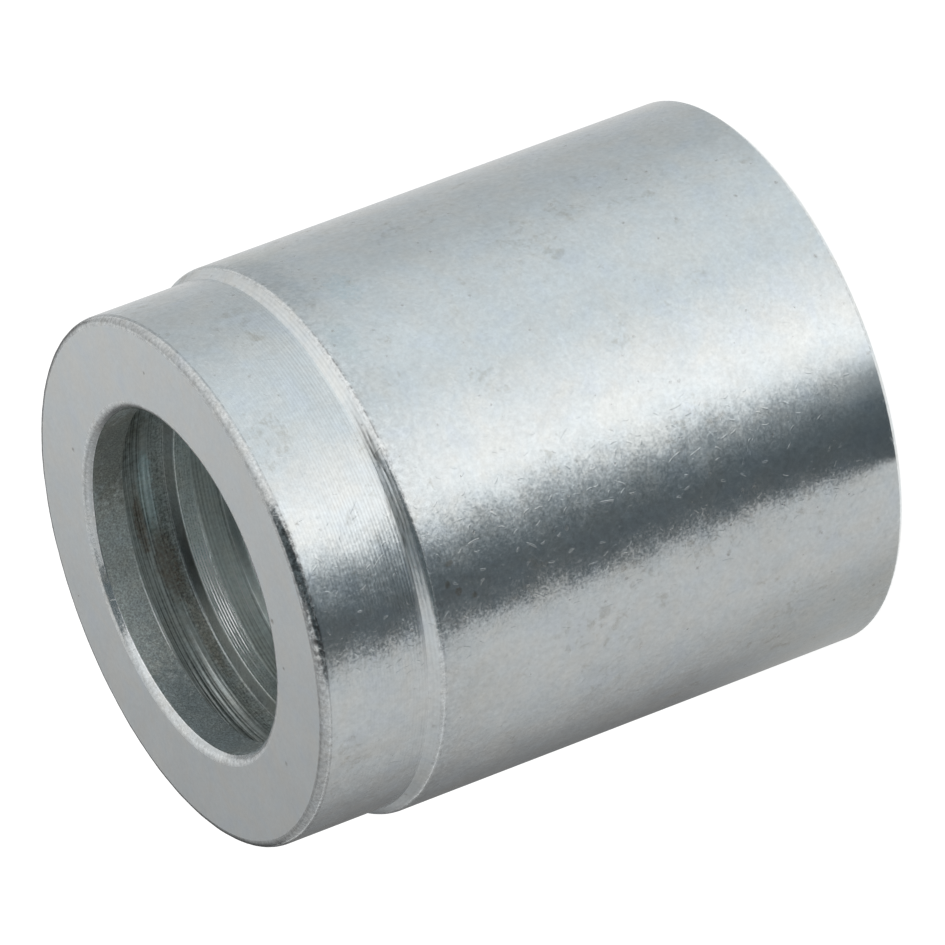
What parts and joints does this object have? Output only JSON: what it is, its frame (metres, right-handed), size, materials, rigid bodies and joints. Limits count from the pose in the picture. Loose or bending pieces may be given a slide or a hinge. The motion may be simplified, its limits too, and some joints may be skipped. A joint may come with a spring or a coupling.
{
  "type": "crimp hose ferrule",
  "caption": "Turned steel sleeve with a narrower collar and a locking lip at one end, gripping rings inside and an open tail for the hose.",
  "frame": {"origin": "centre of the tail's end face, on which the sleeve stands", "axes": "+Z along the sleeve's axis, from the open tail up to the collar; +X and +Y are any two directions across it, because it is turned"},
  "size_m": [0.028, 0.028, 0.0325],
  "materials": {
    "zinc_plated_steel": "satin zinc plating over turned steel, with fine turning lines, faint mottling and small nicks"
  },
  "bodies": {
    "root": {"ferrule": "zinc_plated_steel"}
  },
  "joints": []
}
